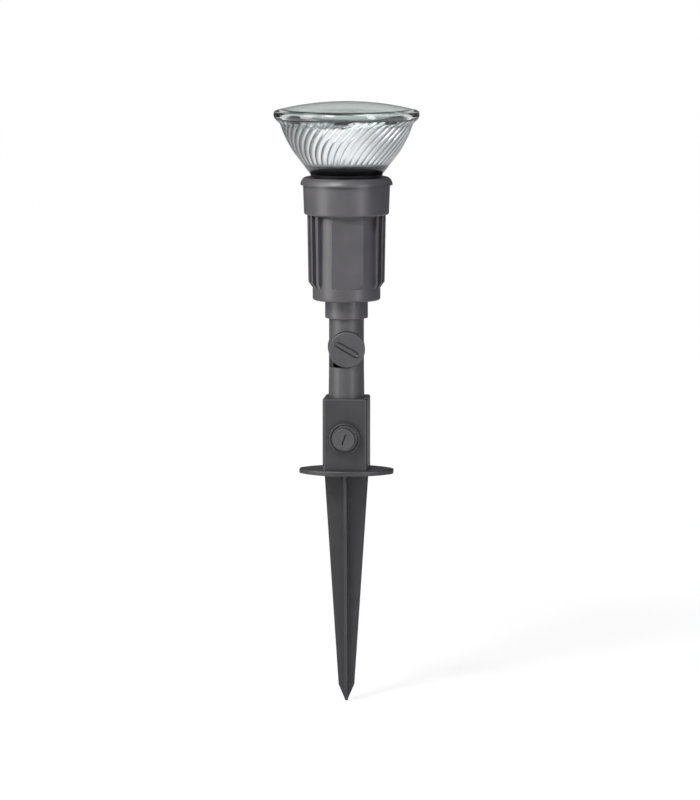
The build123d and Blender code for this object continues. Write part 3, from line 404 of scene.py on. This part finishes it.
def clear_glass(name, tint, roughness, ior):
    """Clear glass with a slight tint of its own."""
    made, shader, _ = new_material(name)
    shader.inputs["Base Color"].default_value = (*tint, 1)
    shader.inputs["Roughness"].default_value = roughness
    shader.inputs["IOR"].default_value = ior
    shader.inputs["Transmission Weight"].default_value = 1.0
    return made


quartz = clear_glass("quartz", (0.97, 0.97, 0.98), 0.02, 1.46)
tungsten = plain_metal("tungsten", (0.30, 0.29, 0.28), 0.45, 0.001)
dress(quartz, "lamp_capsule")
dress(nickel_plate, "capsule_leads")
dress(tungsten, "filament")

# ---------------------------------------------------------------- lamp glass
# The bowl and the lens are pressed from hard glass and fused at the rim. The bowl is smooth outside
# and has twisted flutes inside. Its neck stands in the rubber seal.

lamp_glass = clear_glass("lamp_glass", (0.91, 0.945, 0.935), 0.015, 1.50)
flute_count = 44
flute_steps = 8
flute_depth = 0.010
flute_inset = 0.0039
glass_steps = flute_count * flute_steps
bowl_line = [(0.0442, 0.2341), (0.0412, 0.2262), (0.0361, 0.2167), (0.0306, 0.2093), (0.0239, 0.2005)]
bowl_steps = 5
foot_radius, foot_height = bowl_line[-1]
seam_radius = 0.0479
seam_height = 0.2380
seam_wall = 0.0034
seam_shoulder = [(0.0009, 0.0012), (0.0022, 0.0025)]
neck_radius = 0.0206
neck_inner_radius = 0.0180
neck_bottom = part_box("lamp_bowl")[0].z
neck_floor = neck_bottom + 0.0026
pole_radius = 0.004
silver_overlap = 0.00003
crease_angle = math.radians(28)

# The flutes turn faster towards the rim: degrees, degrees per mm and degrees per mm squared.
twist_level = 0.208
twist_start = -16
twist_rate = 0.55
twist_growth = 0.019


def twist(height):
    """How far the flutes have turned at a height, in radians."""
    rise = (height - twist_level) * 1000
    return math.radians(twist_start + twist_rate * rise + twist_growth * rise ** 2)


def smooth_line(points, steps):
    """Points of a smooth curve through the given points."""
    spaced = [points[0], *points, points[-1]]
    line = []
    for before, start, end, after in zip(spaced, spaced[1:], spaced[2:], spaced[3:]):
        for step in range(steps):
            t = step / steps
            line.append(tuple(
                0.5 * (2 * b + (c - a) * t + (2 * a - 5 * b + 4 * c - d) * t ** 2
                       + (3 * b - a - 3 * c + d) * t ** 3)
                for a, b, c, d in zip(before, start, end, after)))
    line.append(points[-1])
    return line


def pressed_wall(name, line, facing_in=False, flutes=False):
    """A round wall drawn out level by level along a line of (radius, height) points."""
    radius, height = line[0]
    bpy.ops.mesh.primitive_circle_add(vertices=glass_steps, radius=radius)
    wall = bpy.context.object
    wall.name = name
    if flutes:
        for step in range(1, flute_steps):
            share = step / flute_steps
            swell = 1 + flute_depth * (1 - (2 * share - 1) ** 2)
            for number, vertex in enumerate(wall.data.vertices):
                vertex.select = number % flute_steps == step
            bpy.ops.object.mode_set(mode="EDIT")
            bpy.ops.transform.resize(value=(swell, swell, 1), center_override=(0, 0, 0))
            bpy.ops.mesh.select_all(action="DESELECT")
            bpy.ops.object.mode_set(mode="OBJECT")
    bpy.ops.object.mode_set(mode="EDIT")
    bpy.ops.mesh.select_all(action="SELECT")
    bpy.ops.transform.translate(value=(0, 0, height))
    if flutes:
        bpy.ops.transform.rotate(value=-twist(height), orient_axis="Z", center_override=(0, 0, 0))
    for (radius, height), (next_radius, next_height) in zip(line, line[1:]):
        step_up = {"value": (0, 0, next_height - height)}
        bpy.ops.mesh.extrude_region_move(TRANSFORM_OT_translate=step_up)
        if next_radius == 0:
            bpy.ops.mesh.merge(type="CENTER")
            break
        grow = next_radius / radius
        bpy.ops.transform.resize(value=(grow, grow, 1), center_override=(0, 0, 0))
        if flutes:
            turn = twist(next_height) - twist(height)
            bpy.ops.transform.rotate(value=-turn, orient_axis="Z", center_override=(0, 0, 0))
    bpy.ops.mesh.select_all(action="SELECT")
    bpy.ops.mesh.normals_make_consistent(inside=facing_in)
    bpy.ops.object.mode_set(mode="OBJECT")
    bpy.ops.object.select_all(action="DESELECT")
    return wall


def close_shell(outer, inner):
    """Joins an outer and an inner wall and closes the gap between their free edges."""
    outer.select_set(True)
    inner.select_set(True)
    bpy.context.view_layer.objects.active = outer
    bpy.ops.object.join()
    bpy.ops.object.mode_set(mode="EDIT")
    bpy.ops.mesh.select_mode(type="EDGE")
    bpy.ops.mesh.select_all(action="DESELECT")
    bpy.ops.mesh.select_non_manifold()
    bpy.ops.mesh.bridge_edge_loops()
    bpy.ops.mesh.select_all(action="SELECT")
    bpy.ops.mesh.normals_make_consistent(inside=False)
    bpy.ops.mesh.select_mode(type="VERT")
    bpy.ops.object.mode_set(mode="OBJECT")
    bpy.ops.object.shade_smooth_by_angle(angle=crease_angle)
    bpy.ops.object.select_all(action="DESELECT")


bowl_curve = smooth_line(bowl_line, bowl_steps)
bowl_outside = [(seam_radius, seam_height)]
bowl_outside += [(seam_radius - inward, seam_height - down) for inward, down in seam_shoulder]
bowl_outside += [*bowl_curve, (neck_radius, foot_height), (neck_radius, neck_bottom),
                 (pole_radius, neck_bottom), (0, neck_bottom)]
bowl_inside = [(seam_radius - seam_wall, seam_height)]
bowl_inside += [(radius - flute_inset - silver_overlap, height) for radius, height in bowl_curve]
bowl_inside += [(neck_inner_radius, neck_floor), (pole_radius, neck_floor), (0, neck_floor)]
bowl_glass = pressed_wall("bowl_glass", bowl_outside)
close_shell(bowl_glass, pressed_wall("bowl_lining", bowl_inside, facing_in=True, flutes=True))
bowl_glass.data.materials.append(lamp_glass)
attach(bowl_glass, "lamp")
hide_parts("lamp_bowl")

lens_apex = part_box("lamp_lens")[1].z
lens_radius = 0.0464
lens_drop = 0.0057
lens_thickness = 0.0032
lens_rings = 12
dome_radius = (lens_radius ** 2 + lens_drop ** 2) / (2 * lens_drop)
rim_line = [(seam_radius, seam_height), (0.04843, 0.2391), (0.04852, 0.2405), (0.04835, 0.2416),
            (0.0478, 0.2424), (0.0471, 0.2428)]
rim_steps = 3


def dome(share, depth):
    """A point of the lens's dome at a share of its radius, or of the sphere at a depth in it."""
    radius = lens_radius * share
    return radius, lens_apex - dome_radius + math.sqrt((dome_radius - depth) ** 2 - radius ** 2)


lens_outside = smooth_line(rim_line, rim_steps)
lens_outside += [dome(ring / lens_rings, 0) for ring in range(lens_rings, 0, -1)]
lens_outside.append((0, lens_apex))
lens_inside = [(seam_radius - seam_wall, seam_height)]
lens_inside += [dome(ring / lens_rings, lens_thickness) for ring in range(lens_rings - 1, 0, -1)]
lens_inside.append((0, lens_apex - lens_thickness))
lens_glass = pressed_wall("lens_glass", lens_outside)
close_shell(lens_glass, pressed_wall("lens_underside", lens_inside, facing_in=True))
lens_glass.data.materials.append(clear_glass("thick_glass", (0.80, 0.85, 0.83), 0.015, 1.50))
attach(lens_glass, "lamp")
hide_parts("lamp_lens")

# ---------------------------------------------------------------- silvering, with painted shade below it
# Aluminium evaporated on the flutes from inside. It stops short of the rim and thins out towards the
# foot, and below it the sheet is black: painted shade for the unlit inside seen through the bare
# neck.

silver_top = 0.2335
silver_foot = 0.2078
silver_fade = 0.003
silver_ragged = 0.0016
silver_thickness = 0.0003


def aluminium_and_painted_shade(name):
    """Bright silver above the foot, with a ragged edge, and dull black below it as painted shade."""
    made, shader, tree = new_material(name)
    place = tree.nodes.new("ShaderNodeTexCoord")
    sides = tree.nodes.new("ShaderNodeSeparateXYZ")
    tree.links.new(place.outputs["Object"], sides.inputs[0])
    ragged = reckon(tree, "MULTIPLY_ADD", uneven(tree, 350, 4), silver_ragged, sides.outputs["Z"])
    silver_over_painted_shade = fade(tree, ragged, (silver_foot, silver_foot + silver_fade), (0.0, 1.0))
    tone = tree.nodes.new("ShaderNodeMix")
    tone.data_type = "RGBA"
    # Painted shade: the dull black below the silver stands for the unlit holder and body seen through
    # the bare neck.
    tone.inputs["A"].default_value = (0.010, 0.010, 0.012, 1)
    tone.inputs["B"].default_value = (0.86, 0.87, 0.90, 1)
    tree.links.new(silver_over_painted_shade, tone.inputs["Factor"])
    tree.links.new(silver_over_painted_shade, shader.inputs["Metallic"])
    tree.links.new(tone.outputs["Result"], shader.inputs["Base Color"])
    tree.links.new(spread(tree, uneven(tree, 120, 3), 0.16, 0.30), shader.inputs["Roughness"])
    return made


def thicken(sheet, thickness, offset):
    """Gives a sheet its thickness: behind its face at an offset of -1, on both sides at 0."""
    sheet.select_set(True)
    bpy.context.view_layer.objects.active = sheet
    body = sheet.modifiers.new("thickness", "SOLIDIFY")
    body.thickness = thickness
    body.offset = offset
    bpy.ops.object.modifier_apply(modifier="thickness")
    bpy.ops.object.shade_smooth_by_angle(angle=crease_angle)
    bpy.ops.object.select_all(action="DESELECT")


silver_line = [(radius - flute_inset, height) for radius, height in bowl_curve if height < silver_top]
silver_line.append((neck_inner_radius + silver_overlap, neck_floor))
# Below the silver's foot the same sheet runs on down the neck and carries the painted shade.
silvering = pressed_wall("silvering", silver_line, flutes=True)
thicken(silvering, silver_thickness, -1)
silvering.data.materials.append(aluminium_and_painted_shade("aluminium_and_painted_shade"))
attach(silvering, "lamp")
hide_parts("reflector_coating")

# ---------------------------------------------------------------- seating pads
# Eight short pads of dark cement lie under the lens's edge, evenly round the rim. They seat the lens
# while it is fused to the bowl.

pad_count = 8
pad_spacing = 2 * math.pi / pad_count
pad_half_width = math.radians(6.5)
pad_line = [(0.0446, 0.2378), (0.0441, 0.2373), (0.0436, 0.2368)]
pad_thickness = 0.0014

pads = pressed_wall("seating_pads", pad_line)
bpy.context.view_layer.objects.active = pads
bpy.ops.object.mode_set(mode="EDIT")
bpy.ops.mesh.select_mode(type="FACE")
bpy.ops.mesh.select_all(action="DESELECT")
bpy.ops.object.mode_set(mode="OBJECT")
for face in pads.data.polygons:
    azimuth = math.atan2(face.center.x, -face.center.y)
    off_pad = abs((azimuth + pad_spacing / 2) % pad_spacing - pad_spacing / 2)
    face.select = off_pad > pad_half_width
bpy.ops.object.mode_set(mode="EDIT")
bpy.ops.mesh.delete(type="FACE")
bpy.ops.mesh.select_mode(type="VERT")
bpy.ops.object.mode_set(mode="OBJECT")
thicken(pads, pad_thickness, -1)
pads.data.materials.append(plain_resin("dark_cement", (0.035, 0.034, 0.033), 0.7))
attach(pads, "lamp")

# ---------------------------------------------------------------- black band of painted shade at the lamp's foot
# A black sheet on the glass covers the step where the bowl meets its neck, and the neck down into the
# seal. It is painted shade: it darkens the foot and neck where they stand in the dark gap above the
# seal.

band_height = 0.1993
band_lap = 0.0001
band_edge = 0.0004
band_round = 0.0003
band_end = neck_bottom + 0.0005
band_thickness = 0.00015

painted_shade_band = pressed_wall("painted_shade_band", [
    (foot_radius + band_lap, foot_height), (foot_radius, foot_height - band_edge),
    (foot_radius - band_lap, band_height + band_round), (foot_radius - band_edge, band_height),
    (neck_radius + band_lap, band_height), (neck_radius + band_lap, band_end)])
thicken(painted_shade_band, band_thickness, 0)
# The black is painted shade, not a coat on the glass.
painted_shade_band.data.materials.append(plain_resin("painted_shade_black", (0.010, 0.010, 0.011), 0.35))
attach(painted_shade_band, "lamp")
